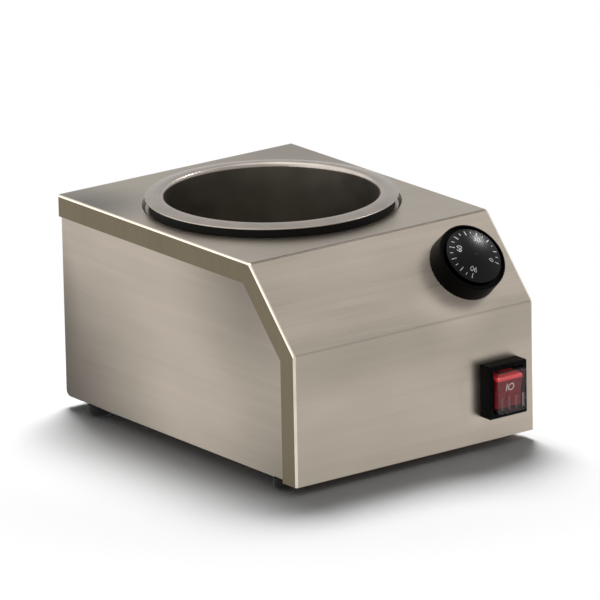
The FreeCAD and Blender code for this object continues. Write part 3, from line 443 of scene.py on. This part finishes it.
def print_dial(ink):
    """The scale from 0 to 90: a long stroke each 10, a short one each 5, four numbers."""
    turn = joint("knob_turn")
    out = Vector(turn["axis"])
    shape = bmesh.new()
    zero, degrees_each = -33, 3
    # A stroke is its inner and outer radius and its width, in millimetres.
    long_stroke, short_stroke = (15.0, 18.4, 0.6), (16.0, 18.0, 0.5)
    number_radius, number_height = 12.0 * MM, 3.7 * MM
    for value in range(0, 91, 5):
        angle = radians(zero + degrees_each * value)
        inside, outside, width = long_stroke if value % 10 == 0 else short_stroke
        radius = (inside + outside) / 2 * MM
        bar(shape, (radius * cos(angle), radius * sin(angle)), angle,
            (outside - inside) * MM, width * MM)
        if value % 30 == 0:
            number(shape, str(value), (number_radius * cos(angle), number_radius * sin(angle)),
                   angle - pi / 2, number_height)
    printed("dial_scale", shape, "dial_cap", Vector(turn["pos_m"]), out, "knob", ink)


def print_rocker(ink):
    """The off and on marks, side by side on the upper half of the rocker."""
    shape = bmesh.new()
    mark_height, ring_width, stroke = 5.4 * MM, 5.2 * MM, 0.8 * MM
    bar_side, ring_side, above = -1.9 * MM, 1.8 * MM, 2.1 * MM
    bar(shape, (bar_side, above), pi / 2, mark_height, stroke)
    ring(shape, (ring_side, above), ring_width, mark_height, stroke)
    printed("switch_marks", shape, "rocker", Vector(joint("rocker_tip")["pos_m"]),
            Vector((0, -1, 0)), "rocker", ink)


def place_camera():
    """The photograph's viewpoint: a long lens from the left front, a little above."""
    azimuth, elevation, roll = radians(-36.577), radians(16.616), radians(-1.123)
    place = (-3.08016, -4.15729, 1.63075)
    back = Vector((sin(azimuth) * cos(elevation), -cos(azimuth) * cos(elevation),
                   sin(elevation)))
    right = (-back).cross(Vector((0, 0, 1))).normalized()
    up = right.cross(-back)
    turned_right = cos(roll) * right + sin(roll) * up
    turned_up = -sin(roll) * right + cos(roll) * up
    data = bpy.data.cameras.new("camera")
    camera = bpy.data.objects.new("camera", data)
    bpy.context.scene.collection.objects.link(camera)
    turn = Matrix((turned_right, turned_up, back)).transposed()
    camera.matrix_world = Matrix.Translation(place) @ turn.to_4x4()
    data.sensor_width = 36
    data.lens = 480
    data.clip_end = 50
    bpy.context.scene.camera = camera


def lamp(name, place, aim, size, power, glossy=True, diffuse=True, shadow=True):
    """A square lamp, which can be kept out of reflections or of diffuse light, or cast no
    shadow."""
    data = bpy.data.lights.new(name, "AREA")
    data.size = size
    data.energy = power
    data.use_shadow = shadow
    light = bpy.data.objects.new(name, data)
    bpy.context.scene.collection.objects.link(light)
    light.location = place
    light.rotation_euler = (Vector(aim) - Vector(place)).to_track_quat("-Z", "Y").to_euler()
    light.visible_glossy = glossy
    light.visible_diffuse = diffuse


def in_view(tree, path):
    """1 for what is seen directly or through the boot."""
    return add(tree, "ShaderNodeMath",
               {0: path.outputs["Is Camera Ray"], 1: path.outputs["Is Transmission Ray"]},
               operation="MAXIMUM").outputs["Value"]


def in_gloss(tree, path):
    """1 for what is seen straight off a glossy surface, 0 for what is seen through the boot
    and for light that a glossy surface only throws on to the floor or a plastic."""
    other = add(tree, "ShaderNodeMath", {
        0: path.outputs["Diffuse Depth"], 1: path.outputs["Is Transmission Ray"]},
        operation="ADD")
    straight = add(tree, "ShaderNodeMath", {0: other.outputs["Value"], 1: 0.5},
                   operation="LESS_THAN")
    return add(tree, "ShaderNodeMath",
               {0: path.outputs["Is Glossy Ray"], 1: straight.outputs["Value"]},
               operation="MULTIPLY").outputs["Value"]


def light_studio():
    """A softbox above and behind, a weak lamp in front, and one on the right for the dial's
    highlight. The world is white to see, also through the boot, and lights little.

    In reflections it is a pale tent with a light over its top, a softbox high on the left
    and a faint glow low on the skyline.
    """
    room_level = 0.11
    world = bpy.data.worlds.new("studio")
    bpy.context.scene.world = world
    world.use_nodes = True
    tree = world.node_tree
    path = add(tree, "ShaderNodeLightPath")
    directions = add(tree, "ShaderNodeTexCoord")
    softbox_side = Vector((-0.70, 0.35, 0.62)).normalized()
    leftward = add(tree, "ShaderNodeVectorMath",
                   {0: directions.outputs["Generated"], 1: softbox_side},
                   operation="DOT_PRODUCT")
    softbox = add(tree, "ShaderNodeMapRange", {
        "Value": leftward.outputs["Value"], "From Min": 0.5, "From Max": 0.8,
        "To Max": 0.9}, interpolation_type="SMOOTHSTEP")
    height = add(tree, "ShaderNodeSeparateXYZ", {"Vector": directions.outputs["Generated"]})
    canopy = add(tree, "ShaderNodeMapRange", {
        "Value": height.outputs["Z"], "From Min": 0.25, "From Max": 0.75,
        "To Min": 0.7, "To Max": 0.56})
    top_light = add(tree, "ShaderNodeMapRange", {
        "Value": height.outputs["Z"], "From Min": 0.84, "From Max": 0.96, "To Max": 0.9},
        interpolation_type="SMOOTHSTEP")
    skyline = add(tree, "ShaderNodeMapRange", {
        "Value": height.outputs["Z"], "From Min": 0.1, "From Max": 0.27, "To Min": 0.2,
        "To Max": 0.0}, interpolation_type="SMOOTHSTEP")
    tent = canopy.outputs["Result"]
    for lights in (softbox, top_light, skyline):
        tent = add(tree, "ShaderNodeMath", {0: tent, 1: lights.outputs["Result"]},
                   operation="ADD").outputs["Value"]
    mirrored = add(tree, "ShaderNodeMix", {
        0: in_gloss(tree, path), 2: room_level, 3: tent})
    level = add(tree, "ShaderNodeMix", {
        0: in_view(tree, path), 2: mirrored.outputs[0], 3: 1.0})
    background = tree.nodes["Background"]
    tree.links.new(level.outputs[0], background.inputs["Strength"])
    background.inputs["Color"].default_value = (1, 1, 1, 1)
    lamp("overhead_softbox", (0.32, 0.56, 1.4), (0, 0, 0), 0.7, 30, glossy=False)
    lamp("front_fill", (0.2, -0.9, 1.2), (0, 0, 0), 0.5, 1.0, glossy=False)
    lamp("knob_highlight", (1.565, -0.12, 1.47), (0.06, -0.1, 0.12), 0.22, 7.5,
         diffuse=False, shadow=False)


def lay_floor():
    """A pale sweep: near the object it takes the shadow, farther out it is plain white.
    Glossy surfaces mirror it mostly as an even glow."""
    reach = 12
    shadow_reach, white_from = 0.2, 0.32
    white, mirrored_white, mirrored_share = 1.0, 0.9, 0.8
    mesh = bpy.data.meshes.new("floor")
    mesh.from_pydata([(-reach, -reach, 0), (reach, -reach, 0), (reach, reach, 0),
                      (-reach, reach, 0)], [], [(0, 1, 2, 3)])
    floor = bpy.data.objects.new("floor", mesh)
    bpy.context.scene.collection.objects.link(floor)
    material, tree, shader = new_material("pale_sweep", Base_Color=hex_linear("#F4F4F4"),
                                          Roughness=0.9, Specular_IOR_Level=0.1)
    path = add(tree, "ShaderNodeLightPath")
    gloss = in_gloss(tree, path)
    level = add(tree, "ShaderNodeMix", {0: gloss, 2: white, 3: mirrored_white})
    glow = add(tree, "ShaderNodeEmission",
               {"Color": (1, 1, 1, 1), "Strength": level.outputs[0]})
    coordinates = add(tree, "ShaderNodeTexCoord")
    distance = add(tree, "ShaderNodeVectorMath", {0: coordinates.outputs["Object"]},
                   operation="LENGTH")
    away = add(tree, "ShaderNodeMapRange", {
        "Value": distance.outputs["Value"], "From Min": shadow_reach, "From Max": white_from},
        interpolation_type="SMOOTHSTEP")
    seen = add(tree, "ShaderNodeMath", {0: away.outputs["Result"], 1: in_view(tree, path)},
               operation="MULTIPLY")
    share = add(tree, "ShaderNodeMix",
                {0: gloss, 2: seen.outputs["Value"], 3: mirrored_share})
    both = add(tree, "ShaderNodeMixShader", {
        0: share.outputs[0], 1: shader.outputs["BSDF"], 2: glow.outputs["Emission"]})
    tree.links.new(both.outputs["Shader"], tree.nodes["Material Output"].inputs["Surface"])
    mesh.materials.append(material)


bpy.context.scene.view_settings.view_transform = "Standard"
place_camera()
light_studio()
lay_floor()
finish_housing()
finish_pot()
finish_small_pieces()
finish_boot()
finish_rocker()
# Pad-printed white ink, slightly matt.
white_ink = moulded("white_ink", "#E9E9E4", 0.5, grit=0.15, strength=0.1)
print_dial(white_ink)
print_rocker(white_ink)
